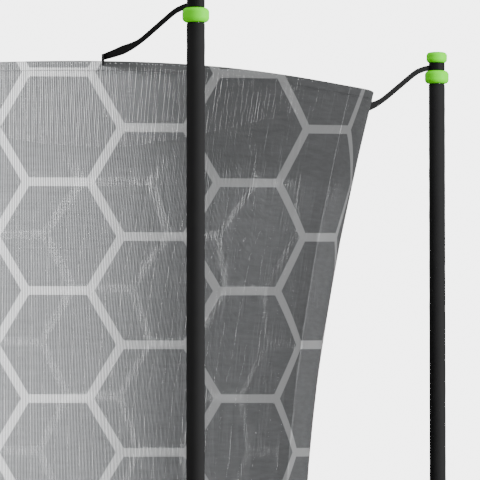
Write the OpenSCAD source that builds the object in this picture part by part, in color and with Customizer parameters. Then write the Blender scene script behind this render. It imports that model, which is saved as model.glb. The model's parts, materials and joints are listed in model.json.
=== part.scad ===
// Round garden trampoline with an inside-mounted safety net.
// Origin: floor level under the middle of the mat. +Z is up, the entrance faces -Y.
// Azimuths are measured from -Y towards +X, in degrees.

/* [Frame] */

// Radius of the top rail's centre line
rail_r = 1200; // [900:10:1800]
// Height of the top rail's centre line
rail_z = 560; // [400:5:900]
// Outside diameter of the rail and of the leg uprights
tube_d = 42; // [32:1:60]
// Wall of the steel tubes
tube_wall = 1.5; // [1.2:0.1:3]
// Outside diameter of the U-shaped leg bases
base_d = 38; // [28:1:50]
// Bend radius of the leg bases
base_bend = 100; // [60:5:160]

/* [Poles] */

// Radius of the circle on which the padded poles stand
pole_r = 1500; // [1300:10:1700]
// Radius at which the poles are clamped to the leg uprights
clamp_r = 1250; // [1240:5:1300]
// Outside diameter of the pole tubes
pole_d = 32; // [25:1:38]
// Outside diameter of the foam sleeves
foam_d = 54; // [40:1:80]
// Slope of the poles between their two bends
pole_slope = 40; // [20:1:50]
// Bend radius of the poles
pole_bend = 150; // [100:10:250]

/* [Jumping mat] */

// Radius of the mat with its edge webbing
mat_r = 1000; // [800:5:1500]
// Number of springs
spring_count = 48; // [32:2:96]
// Outside diameter of a spring's coil
coil_d = 20; // [16:1:30]

/* [Safety net] */

// Height of the hoop in the net's top hem
hoop_z = 2319; // [1800:5:2600]
// Outside radius of the top hem
hem_r = 1155; // [900:5:1500]
// Radius of the net where it meets the mat
net_foot_r = 915; // [700:5:1300]
// Length of the zip in the entrance
zip_len = 1130; // [600:10:1300]
// Sideways swing of each strap from its pole to the hem, one value per pole
strap_swing = [-6.5, 0, 0, 0];

/* [Pad] */

// Inner radius of the spring pad
pad_in_r = 950; // [800:5:1400]
// Outer radius of the spring pad
pad_out_r = 1228; // [1000:5:1800]
// Thickness of the spring pad
pad_t = 20; // [10:1:40]

/* [Hidden] */

$fn = 96;
// Gap between neighbouring pieces
gap = 0.3;
tube_r = tube_d / 2;
base_r = base_d / 2;
pole_tr = pole_d / 2;
foam_r = foam_d / 2;

// Rail segments and legs
rail_count = 8;
rail_step = 360 / rail_count;
swage_r = tube_r - tube_wall - gap;
swage_angle = 3;
socket_bottom = 430;
upright_top = 520;
upright_bottom = 130;
upright_wall = 1.7;
base_z = 8 + base_r;
base_top = 190;
chord_r = rail_r * cos(rail_step / 2);
chord_half = rail_r * sin(rail_step / 2);
foot_y = 250;
foot_size = [46, 70, 24];

// Pole clamps
clamp_z = [230, 400];
bolt_r = 4;
bolt_hole_r = 4.3;
bolt_head_r = 8.5;
bolt_head_h = 5;
nut_r = 7.5;
nut_h = 8;
bolt_in = rail_r - tube_r - gap;
bolt_out = clamp_r + pole_tr + nut_h + 6;
spacer_size = [23, 36, 40];

// Pole line
lip = 0.25;
lap = 5;
pole_foot_z = 113;
bend_z = 640;
bend_rise = pole_bend * sin(pole_slope);
bend_out = pole_bend * (1 - cos(pole_slope));
slope_len = (pole_r - clamp_r - 2 * bend_out) / sin(pole_slope);
bend_top_z = bend_z + 2 * bend_rise + slope_len * cos(pole_slope);
pole_joint_z = bend_top_z + 100;
spigot_len = 80;
spigot_r = pole_tr - tube_wall - 0.2;
foam_bottom = 625;
collar_z = 2420;
foam_top = collar_z - 1;
pole_top = collar_z + 80;

// Spool cap on each pole
cap_bore_r = pole_tr + gap;
collar_r = 40.5;
collar_h = 44;
neck_r = 22;
neck_h = 27;
crown_r = 35;
crown_h = 36;
neck_z = collar_z + collar_h + neck_h / 2;

// Straps
strap_w = 25;
strap_t = 2.6;
loop_r = neck_r + gap;
strap_lead = 46;
tab_in = hem_r + 0.4;
tab_out = hem_r + 9;
tab_w = 30;
tab_h = 38;

// Mat, rings and springs
mat_z = 577;
mat_t = 2.4;
web_in = mat_r - 40;
web_t = 6;
tab_len = 11;
tab_half = 6.5;
ring_t = 3.5;
ring_half = 17;
ring_base_r = mat_r + 2;
ring_tip_r = mat_r + 24;
wire_r = 1.6;
coil_in = mat_r + 50;
coil_out = rail_r - 42;
hook_in_r = mat_r + 14.5;
hook_out_r = rail_r - 8;
hook_in_z = mat_z + 5.2;
hook_out_z = mat_z + 7;
hook_drop = 12;
spring_step = 360 / spring_count;
springs_per_rail = spring_count / rail_count;
hole_r = 4;

// Net
net_t = 3;
net_foot_z = 592;
net_knee_z = 1730;
net_knee_r = 1021.5;
net_neck_z = 2080;
net_neck_r = 1092;
hem_in = hem_r - 22;
hem_h = 26;
hem_mid_r = hem_r - 11;
hem_bore_r = 5.8;
rod_r = 4;
ferrule_out = 5.2;
ferrule_len = 80;
band_t = 6;
lean = atan((net_knee_r - net_foot_r) / (net_knee_z - net_foot_z));

// Zip
zip_half = 20.5;
zip_slit = 1.5;
zip_tape_t = 2.4;
slider_z = 80;
slider_h = 22;
slider_half = 7;
plate_in = 2;
plate_t = 2;
pin_x = 7.5;
pin_z = 95.5;
pin_r = 1;
pull_len = 36;

// Pad
pad_z = 592;
skirt_t = 2.5;
skirt_h = 80;
edge_r = 6;

// Azimuth of the middle of a leg
function leg_azimuth(k) = k * 90 - 22.5;

// Turns a piece built along +X to an azimuth
module at(azimuth) {
  rotate([0, 0, azimuth - 90]) children();
}

// Ring section
module ring2d(outer, inner) {
  difference() {
    circle(r = outer);
    circle(r = inner);
  }
}

// Upright tube on the Z axis
module tube(outer, inner, low, high) {
  translate([0, 0, low]) linear_extrude(high - low) ring2d(outer, inner);
}

// Curved tube about the Z axis, centred on +X
module arc_tube(radius, z, outer, inner, start, span) {
  rotate([0, 0, start]) rotate_extrude(angle = span, $fn = 180)
    translate([radius, z]) ring2d(outer, inner);
}

// Rectangle with rounded corners, from its lower left corner
module round_bar(w, h, r) {
  translate([r, 0]) square([w - 2 * r, h]);
  translate([0, r]) square([w, h - 2 * r]);
  for (x = [r, w - r]) {
    for (y = [r, h - r]) {
      translate([x, y]) circle(r = r);
    }
  }
}

// One eighth of the top rail, with its leg socket welded on
module rail(k) {
  half = rail_step / 2;
  color("#9aa0a4") at(k * rail_step) difference() {
    union() {
      arc_tube(rail_r, rail_z, tube_r, tube_r - tube_wall, -half + 0.05, rail_step - 0.1);
      arc_tube(rail_r, rail_z, tube_r - 0.5, swage_r - tube_wall - 0.5, half - 0.4, 0.3);
      arc_tube(rail_r, rail_z, swage_r, swage_r - tube_wall, half - 0.2, swage_angle);
      difference() {
        translate([rail_r, 0, 0]) tube(base_r, base_r - 2, socket_bottom, rail_z);
        rotate([0, 0, -5]) rotate_extrude(angle = 10, $fn = 180)
          translate([rail_r, rail_z]) circle(r = tube_r - 0.7);
      }
    }
    for (i = [0 : springs_per_rail - 1]) {
      rotate([0, 0, -half + (i + 0.5) * spring_step])
        translate([hook_out_r, 0, rail_z + 12]) cylinder(r = hole_r, h = 20);
    }
  }
}

// U-shaped base of one leg
module leg_base(k) {
  inner = base_r - tube_wall;
  run = chord_half - base_bend;
  color("#9aa0a4") at(leg_azimuth(k)) translate([chord_r, 0, 0]) {
    translate([0, -run, base_z]) rotate([-90, 0, 0])
      linear_extrude(2 * run) ring2d(base_r, inner);
    for (side = [-1, 1]) {
      translate([0, side * run, base_z + base_bend])
        rotate([0, 0, side > 0 ? 90 : -90]) rotate([90, 0, 0]) rotate([0, 0, -90])
          rotate_extrude(angle = 90) translate([base_bend, 0]) ring2d(base_r, inner);
      translate([0, side * chord_half, 0])
        tube(base_r, inner, base_z + base_bend, base_top);
    }
  }
}

// Upright tube between a leg base and its rail socket
module leg_upright(m) {
  color("#9aa0a4") at(m * rail_step) translate([rail_r, 0, 0]) difference() {
    tube(tube_r, tube_r - upright_wall, upright_bottom, upright_top);
    if (m % 2 == 1) {
      for (z = clamp_z) {
        translate([0, 0, z]) rotate([0, 90, 0])
          cylinder(r = bolt_hole_r, h = 2 * tube_r + 10, center = true);
      }
    }
  }
}

// Rubber saddles under the leg bases
module leg_feet() {
  color("#202224") for (k = [1 : 4]) {
    at(leg_azimuth(k)) for (side = [-1, 1]) {
      translate([chord_r, side * foot_y, 0]) difference() {
        translate([-foot_size[0] / 2, -foot_size[1] / 2, 0]) cube(foot_size);
        translate([0, 0, base_z]) rotate([90, 0, 0])
          cylinder(r = base_r + gap / 2, h = foot_size[1] + 10, center = true);
      }
    }
  }
}

// Tube along the whole pole line; its straights lap over the slightly thinner bends
module bent_tube(outer, inner, low, high) {
  translate([clamp_r, 0, 0]) tube(outer, inner, low, bend_z + lap);
  translate([clamp_r + pole_bend, 0, bend_z]) rotate([90, 0, 0])
    rotate([0, 0, 180 - pole_slope]) rotate_extrude(angle = pole_slope)
      translate([pole_bend, 0]) ring2d(outer - lip, inner + lip);
  translate([clamp_r + bend_out, 0, bend_z + bend_rise]) rotate([0, pole_slope, 0])
    translate([0, 0, -lap]) linear_extrude(slope_len + 2 * lap) ring2d(outer, inner);
  translate([pole_r - pole_bend, 0, bend_top_z]) rotate([90, 0, 0])
    rotate([0, 0, -pole_slope]) rotate_extrude(angle = pole_slope)
      translate([pole_bend, 0]) ring2d(outer - lip, inner + lip);
  translate([pole_r, 0, 0]) tube(outer, inner, bend_top_z - lap, high);
}

// Lower pole tube, bent outwards, with a spigot for the upper tube
module pole_lower(k) {
  core = spigot_r - tube_wall;
  color("#8d9397") at(k * 90 - 45) difference() {
    union() {
      bent_tube(pole_tr, pole_tr - tube_wall, pole_foot_z, pole_joint_z);
      translate([pole_r, 0, 0]) {
        tube(pole_tr - 0.6, core, pole_joint_z - 6, pole_joint_z - 1);
        tube(spigot_r, core, pole_joint_z - 4, pole_joint_z + spigot_len);
      }
    }
    for (z = clamp_z) {
      translate([clamp_r, 0, z]) rotate([0, 90, 0])
        cylinder(r = bolt_hole_r, h = pole_d + 10, center = true);
    }
  }
}

// Upper pole tube
module pole_upper(k) {
  color("#8d9397") at(k * 90 - 45) translate([pole_r, 0, 0])
    tube(pole_tr, pole_tr - tube_wall, pole_joint_z + 0.5, pole_top);
}

// Foam sleeve over the whole visible pole
module foam(k) {
  color("#141516") at(k * 90 - 45) bent_tube(foam_r, pole_tr + 0.6, foam_bottom, foam_top);
}

// Spool-shaped cap: wide collar, neck for the strap, smaller crown
module pole_cap(k) {
  color("#71bb08") at(k * 90 - 45) translate([pole_r, 0, collar_z]) difference() {
    rotate_extrude() intersection() {
      union() {
        translate([-collar_r, 0]) round_bar(2 * collar_r, collar_h, 14);
        translate([0, 10]) square([neck_r, collar_h + neck_h]);
        translate([-crown_r, collar_h + neck_h]) round_bar(2 * crown_r, crown_h, 12);
      }
      square([100, 200]);
    }
    translate([0, 0, -1]) cylinder(r = cap_bore_r, h = 86);
  }
}

// Plastic plugs over the lower ends of the poles
module pole_end_caps() {
  color("#202224") for (k = [1 : 4]) {
    at(k * 90 - 45) translate([clamp_r, 0, 0]) {
      tube(pole_tr + 1.7, pole_tr + 0.2, pole_foot_z - 3.2, pole_foot_z + 22);
      tube(pole_tr + 1.7, 3, pole_foot_z - 3.2, pole_foot_z - 0.3);
    }
  }
}

// Plastic spacers between uprights and poles
module clamp_spacers() {
  color("#202224") for (k = [1 : 4]) {
    for (z = clamp_z) {
      at(k * 90 - 45) difference() {
        translate([rail_r + 15, -spacer_size[1] / 2, z - spacer_size[2] / 2])
          cube(spacer_size);
        translate([rail_r, 0, z]) cylinder(r = tube_r + 0.2, h = 60, center = true);
        translate([clamp_r, 0, z]) cylinder(r = pole_tr + 0.2, h = 60, center = true);
        translate([rail_r, 0, z]) rotate([0, 90, 0]) cylinder(r = bolt_hole_r, h = 80);
      }
    }
  }
}

// Round-headed bolts through uprights, spacers and poles
module clamp_bolts() {
  color("#b8bcc0") for (k = [1 : 4]) {
    for (z = clamp_z) {
      at(k * 90 - 45) translate([bolt_in, 0, z]) rotate([0, 90, 0]) {
        cylinder(r = bolt_r, h = bolt_out - bolt_in);
        translate([0, 0, -bolt_head_h]) cylinder(r1 = 5, r2 = bolt_head_r, h = 3);
        translate([0, 0, -2]) cylinder(r = bolt_head_r, h = 2);
      }
    }
  }
}

// Hexagon nuts on the outer side of the poles
module clamp_nuts() {
  color("#b8bcc0") for (k = [1 : 4]) {
    for (z = clamp_z) {
      at(k * 90 - 45) translate([clamp_r + pole_tr + gap, 0, z]) rotate([0, 90, 0])
        difference() {
          cylinder(r = nut_r, h = nut_h, $fn = 6);
          translate([0, 0, -1]) cylinder(r = bolt_r + 0.1, h = nut_h + 2);
        }
    }
  }
}

// Webbing strap from one pole's spool to the top hem
module hem_strap(swing) {
  far = [tab_out - 1, 0, hoop_z + 8];
  goal = [far[0] * cos(swing), far[0] * sin(swing), far[2]];
  way = goal - [pole_r, 0, neck_z];
  turn = atan2(way[1], way[0]);
  flat_len = norm([way[0], way[1]]);
  drop = atan2(-way[2], flat_len - strap_lead);
  slant = norm([flat_len - strap_lead, way[2]]);
  translate([pole_r, 0, neck_z]) {
    tube(loop_r + strap_t, loop_r, -strap_w / 2, strap_w / 2);
    rotate([0, 0, turn]) {
      translate([loop_r + 1, -strap_t / 2, -strap_w / 2])
        cube([strap_lead - loop_r, strap_t, strap_w]);
      translate([strap_lead, 0, 0]) rotate([0, drop, 0])
        translate([0, -strap_t / 2, -strap_w / 2]) cube([slant, strap_t, strap_w]);
    }
  }
  rotate([0, 0, swing])
    translate([tab_in, -tab_w / 2, hoop_z - hem_h / 2]) cube([tab_out - tab_in, tab_w, tab_h]);
}

module hem_straps() {
  color("#17181a") for (k = [1 : 4]) {
    at(k * 90 - 45) hem_strap(strap_swing[k - 1]);
  }
}

// Four glass-fibre rods that make the hoop
module hoop_rods() {
  color("#c9c4a8") for (k = [0 : 3]) {
    rotate([0, 0, k * 90 + 20]) rotate_extrude(angle = 89.95, $fn = 180)
      translate([hem_mid_r, hoop_z]) circle(r = rod_r);
  }
}

// Metal sleeves that join the rods
module hoop_ferrules() {
  half = ferrule_len / 2 / hem_mid_r * 180 / PI;
  color("#b8bcc0") for (k = [0 : 3]) {
    arc_tube(hem_mid_r, hoop_z, ferrule_out, rod_r + 0.2, k * 90 + 20 - half, 2 * half);
  }
}

// Top hem with a channel for the hoop
module net_hem() {
  color("#3a3c3f") rotate_extrude($fn = 180) difference() {
    translate([hem_in, hoop_z - hem_h / 2]) square([hem_r - hem_in, hem_h]);
    translate([hem_mid_r, hoop_z]) circle(r = hem_bore_r);
  }
}

// Places a piece on the zip line: Z along the zip, X out of the net
module on_zip() {
  at(0) translate([net_foot_r, 0, net_foot_z]) rotate([0, lean, 0]) children();
}

// Quarter of the net
module net_panel(k) {
  half = net_t / 2;
  top = hoop_z - hem_h / 2 - gap;
  top_r = hem_mid_r;
  edge = 0.03;
  color("#55585c") difference() {
    at((k - 1) * 90 + edge) rotate_extrude(angle = 90 - 2 * edge, $fn = 180)
      polygon([
        [net_foot_r - half, net_foot_z], [net_foot_r + half, net_foot_z],
        [net_knee_r + half, net_knee_z], [net_neck_r + half, net_neck_z],
        [top_r + half, top], [top_r - half, top],
        [net_neck_r - half, net_neck_z], [net_knee_r - half, net_knee_z]
      ]);
    if (k == 1 || k == 4) {
      on_zip() translate([-30, -zip_half - gap, -5])
        cube([60, 2 * zip_half + 2 * gap, zip_len + 8]);
    }
  }
}

// Two halves of the zip
module zip_tapes() {
  color("#17181a") for (side = [0, 180]) {
    on_zip() rotate([0, 0, side])
      translate([-zip_tape_t / 2, zip_slit, 1]) cube([zip_tape_t, zip_half - zip_slit, zip_len]);
  }
}

// Slider: front and back plates joined by a post, with lugs and a pin for the pull
module zip_slider() {
  color("#8d9397") on_zip() translate([0, 0, slider_z]) {
    for (x = [plate_in, -plate_in - plate_t]) {
      translate([x, -slider_half, 0]) cube([plate_t, 2 * slider_half, slider_h]);
    }
    translate([-plate_in - 1, -0.9, 0]) cube([2 * plate_in + 2, 1.8, slider_h]);
    for (y = [-4, 2.5]) {
      translate([plate_in + plate_t - 0.5, y, 12]) cube([5.5, 1.5, 7]);
    }
    translate([pin_x, 3.5, pin_z - slider_z]) rotate([90, 0, 0]) cylinder(r = pin_r, h = 7);
  }
}

// Pull tab, hanging straight down from the slider's pin
module zip_pull() {
  color("#71bb08") on_zip() translate([pin_x, 0, pin_z]) rotate([0, -lean, 0]) difference() {
    union() {
      rotate([90, 0, 0]) cylinder(r = 2.9, h = 3.6, center = true);
      translate([-0.8, -1.8, -10]) cube([1.6, 3.6, 10]);
      translate([-0.8, -5, -pull_len]) cube([1.6, 10, pull_len - 9]);
    }
    rotate([90, 0, 0]) cylinder(r = pin_r + gap, h = 10, center = true);
  }
}

// Woven jumping surface
module mat() {
  color("#1b1c1e") translate([0, 0, mat_z - mat_t / 2])
    cylinder(r = mat_r - 10, h = mat_t, $fn = 180);
}

// Edge webbing folded over the mat, with a tab for each ring
module mat_webbing() {
  color("#2a2c2f") {
    rotate_extrude($fn = 180) difference() {
      translate([web_in, mat_z - web_t / 2]) square([mat_r - web_in, web_t]);
      translate([web_in - 1, mat_z - mat_t / 2 - gap]) square([31.4, mat_t + 2 * gap]);
    }
    for (i = [0 : spring_count - 1]) {
      rotate([0, 0, (i + 0.5) * spring_step]) difference() {
        translate([mat_r - 2, -tab_half, mat_z - web_t / 2])
          cube([tab_len, 2 * tab_half, web_t]);
        translate([ring_base_r - 0.4, -ring_half, mat_z - ring_t / 2 - gap])
          cube([ring_t + 0.8, 2 * ring_half, ring_t + 2 * gap]);
      }
    }
  }
}

// Band on the mat to which the net's lower edge is sewn
module net_foot_band() {
  low = mat_z + mat_t / 2 + gap;
  color("#17181a") rotate_extrude($fn = 180)
    translate([net_foot_r - band_t / 2, low]) square([band_t, net_foot_z - gap - low]);
}

// Triangular rings at the mat's edge
module v_rings() {
  color("#b8bcc0") for (i = [0 : spring_count - 1]) {
    rotate([0, 0, (i + 0.5) * spring_step]) translate([0, 0, mat_z - ring_t / 2])
      linear_extrude(ring_t) difference() {
        polygon([
          [ring_base_r, -ring_half], [ring_tip_r - 5, -4], [ring_tip_r, 0],
          [ring_tip_r - 5, 4], [ring_base_r, ring_half]
        ]);
        polygon([
          [ring_base_r + ring_t, -ring_half + 6], [ring_tip_r - 5, 0],
          [ring_base_r + ring_t, ring_half - 6]
        ]);
      }
  }
}

// Hook wire of a spring, from the coil's end over and down at a radius
module hook(from_r, to_r, to_z) {
  run = to_r - from_r;
  rise = to_z - mat_z;
  translate([from_r, 0, mat_z]) rotate([0, (90 - atan2(rise, abs(run))) * sign(run), 0])
    cylinder(r = wire_r, h = norm([run, rise]), $fn = 24);
  translate([to_r, 0, to_z - hook_drop]) cylinder(r = wire_r, h = hook_drop + 1, $fn = 24);
}

// Springs between the rings and the rail
module springs() {
  color("#c3c7ca") for (i = [0 : spring_count - 1]) {
    rotate([0, 0, (i + 0.5) * spring_step]) {
      translate([coil_in, 0, mat_z]) rotate([0, 90, 0])
        cylinder(d = coil_d, h = coil_out - coil_in, $fn = 48);
      hook(coil_in + 4, hook_in_r, hook_in_z);
      hook(coil_out - 4, hook_out_r, hook_out_z);
    }
  }
}

// Padded ring over the springs, square at the lower outer edge where the skirt is sewn on
module pad() {
  color("#232527") rotate_extrude($fn = 180) {
    translate([pad_in_r, pad_z]) round_bar(pad_out_r - pad_in_r, pad_t, edge_r);
    translate([pad_out_r - 2 * edge_r, pad_z]) square([2 * edge_r, edge_r + 1]);
  }
}

// Skirt that hangs from the pad round the rail
module pad_skirt() {
  color("#232527") rotate_extrude($fn = 180)
    translate([pad_out_r - skirt_t, pad_z - skirt_h]) square([skirt_t, skirt_h]);
}

// Elastic bands that hold the pad to the rail
module pad_ties() {
  tie_r = tube_r + 0.4;
  color("#17181a") for (i = [0 : rail_count - 1]) {
    rotate([0, 0, (i + 0.5) * rail_step]) translate([rail_r, 0, rail_z]) {
      rotate([90, 0, 0]) linear_extrude(18, center = true) ring2d(tie_r + 1.5, tie_r);
      translate([-1.5, -9, tie_r + 0.5]) cube([3, 18, pad_z - gap - rail_z - tie_r - 0.5]);
    }
  }
}

for (k = [1 : 8]) {
  rail(k);
  leg_upright(k);
}
for (k = [1 : 4]) {
  leg_base(k);
  pole_lower(k);
  pole_upper(k);
  foam(k);
  pole_cap(k);
  net_panel(k);
}
leg_feet();
pole_end_caps();
clamp_spacers();
clamp_bolts();
clamp_nuts();
hem_straps();
hoop_rods();
hoop_ferrules();
net_hem();
zip_tapes();
zip_slider();
zip_pull();
mat();
mat_webbing();
net_foot_band();
v_rings();
springs();
pad();
pad_skirt();
pad_ties();
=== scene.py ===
import json
import math
import bmesh
import bpy
import numpy as np
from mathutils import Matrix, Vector

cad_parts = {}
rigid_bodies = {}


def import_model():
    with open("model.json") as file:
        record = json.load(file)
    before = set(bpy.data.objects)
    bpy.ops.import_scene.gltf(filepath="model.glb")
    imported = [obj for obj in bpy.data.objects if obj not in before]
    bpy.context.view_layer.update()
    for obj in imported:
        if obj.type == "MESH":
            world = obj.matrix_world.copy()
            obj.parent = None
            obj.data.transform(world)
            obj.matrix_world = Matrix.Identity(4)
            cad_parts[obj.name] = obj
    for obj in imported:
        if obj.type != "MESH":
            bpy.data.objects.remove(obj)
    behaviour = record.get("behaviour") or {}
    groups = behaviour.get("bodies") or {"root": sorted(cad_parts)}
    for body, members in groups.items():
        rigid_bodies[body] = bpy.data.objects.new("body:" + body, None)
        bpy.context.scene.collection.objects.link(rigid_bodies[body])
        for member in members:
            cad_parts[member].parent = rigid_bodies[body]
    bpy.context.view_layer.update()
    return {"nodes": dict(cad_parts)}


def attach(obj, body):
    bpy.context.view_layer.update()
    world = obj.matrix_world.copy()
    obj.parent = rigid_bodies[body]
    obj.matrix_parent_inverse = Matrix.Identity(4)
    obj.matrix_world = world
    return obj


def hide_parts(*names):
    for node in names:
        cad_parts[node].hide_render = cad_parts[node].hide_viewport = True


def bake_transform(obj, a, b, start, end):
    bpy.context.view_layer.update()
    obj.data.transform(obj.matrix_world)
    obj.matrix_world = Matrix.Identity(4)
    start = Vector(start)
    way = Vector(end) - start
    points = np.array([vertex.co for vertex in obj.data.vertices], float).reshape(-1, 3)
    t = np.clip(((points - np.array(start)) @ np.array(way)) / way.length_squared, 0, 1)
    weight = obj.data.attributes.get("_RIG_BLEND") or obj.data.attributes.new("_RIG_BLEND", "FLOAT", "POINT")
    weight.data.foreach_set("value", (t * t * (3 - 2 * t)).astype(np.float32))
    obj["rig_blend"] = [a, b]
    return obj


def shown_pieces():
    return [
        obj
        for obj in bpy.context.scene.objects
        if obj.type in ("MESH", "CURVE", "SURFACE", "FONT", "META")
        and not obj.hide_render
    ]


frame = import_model()
nodes = frame["nodes"]
print("frame loaded:", len(nodes), "nodes")

# Azimuths run from -Y towards +X. Everything is in metres.
layout = {
    "poleRadius": 1.500, "clampRadius": 1.250, "bendStart": 0.640, "bendRadius": 0.150,
    "slope": 40.0, "poleAzimuths": (45, 135, 225, 315),
    "neckHeight": 2.4775, "hoopHeight": 2.319, "hoopRadius": 1.144,
    "netTop": 2.331, "netFoot": 0.592, "footRadius": 0.915, "zipAzimuth": 0.0,
    "kneeHeight": 1.730, "kneeRadius": 1.0215, "springEnd": 1.19,
}


def polar(radius, azimuth, z):
    a = math.radians(azimuth)
    return np.array([radius * math.sin(a), -radius * math.cos(a), z])


def netRadius(z):  # mean radius of the net, by its distance below the hem
    below = [0, 0.107, 0.212, 0.476, 0.625, 0.775, 0.925, 1.075, 1.225, 1.45, 1.75]
    radius = [1.152, 1.1257, 1.101, 1.044, 1.017, 0.992, 0.969, 0.952, 0.938, 0.924, 0.915]
    return np.interp(layout["netTop"] - z, below, radius)


sag = {"depths": (0.018, 0.085, 0.050, 0.014), "skews": (1.0, 1.45, 0.8, 1.0), "lift": 0.012,
       "liftAzimuth": 110}


def hemSag(azimuth):  # how far the hoop hangs down, span by span between the poles
    turn = (np.asarray(azimuth, float) - 45) % 360
    span = np.minimum(turn // 90, 3).astype(int)
    share = (turn - 90 * span) / 90
    skewed = share ** np.array(sag["skews"])[span]
    drop = np.array(sag["depths"])[span] * np.sin(np.pi * skewed) ** 2
    off = (np.asarray(azimuth, float) - sag["liftAzimuth"] + 180) % 360 - 180
    return drop - sag["lift"] * np.exp(-(off / 18) ** 2)


def netPoints(azimuth, z):  # points on the net for arrays of azimuths and level heights
    radius = netRadius(z)
    offset = np.abs((np.asarray(azimuth) - layout["zipAzimuth"] + 180) % 360 - 180)
    low, high = layout["netFoot"], layout["kneeHeight"]
    line = layout["footRadius"] + (z - low) / (high - low) * (layout["kneeRadius"] - layout["footRadius"])
    pull = np.clip(1 - (offset - 1.5) / 9, 0, 1) * (z < high)
    pull = pull * pull * (3 - 2 * pull)
    radius = radius + (line - radius) * pull  # the zip pulls the net straight
    height = (z - low) / (layout["netTop"] - low)
    drop = hemSag(azimuth) * np.clip((height - 0.25) / 0.75, 0, 1) ** 1.5
    a = np.radians(azimuth)
    return np.stack([radius * np.sin(a), -radius * np.cos(a), z - drop], axis=-1)


def newPiece(name, points, faces, edges=()):
    mesh = bpy.data.meshes.new(name)
    mesh.from_pydata([tuple(p) for p in points], list(edges), faces)
    mesh.update()
    piece = bpy.data.objects.new(name, mesh)
    bpy.context.scene.collection.objects.link(piece)
    return piece


def smooth(piece, angle=40):
    piece.data.shade_smooth()
    piece.data.set_sharp_from_angle(angle=math.radians(angle))
    return piece


def paint(piece, material):
    piece.data.materials.clear()
    piece.data.materials.append(material)
    return piece


def outward(piece):  # turns a closed mesh right side out
    work = bmesh.new()
    work.from_mesh(piece.data)
    bmesh.ops.recalc_face_normals(work, faces=work.faces)
    if work.calc_volume(signed=True) < 0:
        bmesh.ops.reverse_faces(work, faces=work.faces)
    work.to_mesh(piece.data)
    work.free()
    return piece


def revolve(name, outline, sides, shape=None):  # closed outline of (radius, z) turned about Z
    outline = np.array(outline, float)
    count = len(outline)
    a = np.linspace(0, 360, sides, endpoint=False)
    radius = np.repeat(outline[None, :, 0], sides, 0)
    z = np.repeat(outline[None, :, 1], sides, 0)
    if shape:
        radius, z = shape(a[:, None], radius, z)
    turn = np.radians(a)[:, None]
    points = np.stack([radius * np.sin(turn), -radius * np.cos(turn), z], -1).reshape(-1, 3)
    faces = []
    for i in range(sides):
        n = (i + 1) % sides
        for k in range(count):
            m = (k + 1) % count
            faces.append((i * count + k, n * count + k, n * count + m, i * count + m))
    return outward(newPiece(name, points, faces))


def sweep(name, path, sections, across):  # closed sections carried along a path, with end faces
    path = np.array(path, float)
    along = np.gradient(path, axis=0)
    along /= np.linalg.norm(along, axis=1)[:, None]
    side = np.cross(along, np.broadcast_to(across, path.shape))
    side /= np.linalg.norm(side, axis=1)[:, None]
    up = np.cross(side, along)
    count = len(sections[0])
    points = []
    for i in range(len(path)):
        for s, u in sections[i]:
            points.append(path[i] + side[i] * s + up[i] * u)
    faces = []
    for i in range(len(path) - 1):
        for k in range(count):
            m = (k + 1) % count
            faces.append((i * count + k, i * count + m, (i + 1) * count + m, (i + 1) * count + k))
    faces.append(tuple(range(count)))
    faces.append(tuple((len(path) - 1) * count + k for k in range(count)))
    return outward(newPiece(name, points, faces))


def joined(name, parts):  # several pieces made one
    for o in bpy.context.scene.objects:
        o.select_set(False)
    for o in parts:
        o.select_set(True)
    bpy.context.view_layer.objects.active = parts[0]
    bpy.ops.object.join()
    parts[0].name = name
    parts[0].data.name = name
    return parts[0]


def startTree(name, inputs):
    tree = bpy.data.node_groups.new(name, "GeometryNodeTree")
    tree.interface.new_socket("Geometry", in_out="INPUT", socket_type="NodeSocketGeometry")
    ids = {}
    for label, kind in inputs:
        ids[label] = tree.interface.new_socket(label, in_out="INPUT", socket_type=kind).identifier
    tree.interface.new_socket("Geometry", in_out="OUTPUT", socket_type="NodeSocketGeometry")
    return tree, ids, tree.nodes.new("NodeGroupInput"), tree.nodes.new("NodeGroupOutput")


def add(tree, kind, values=None, links=None, **settings):
    node = tree.nodes.new(kind)
    for key, value in settings.items():
        setattr(node, key, value)
    for key, value in (values or {}).items():
        node.inputs[key].default_value = value
    for key, socket in (links or {}).items():
        tree.links.new(socket, node.inputs[key])
    return node


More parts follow.
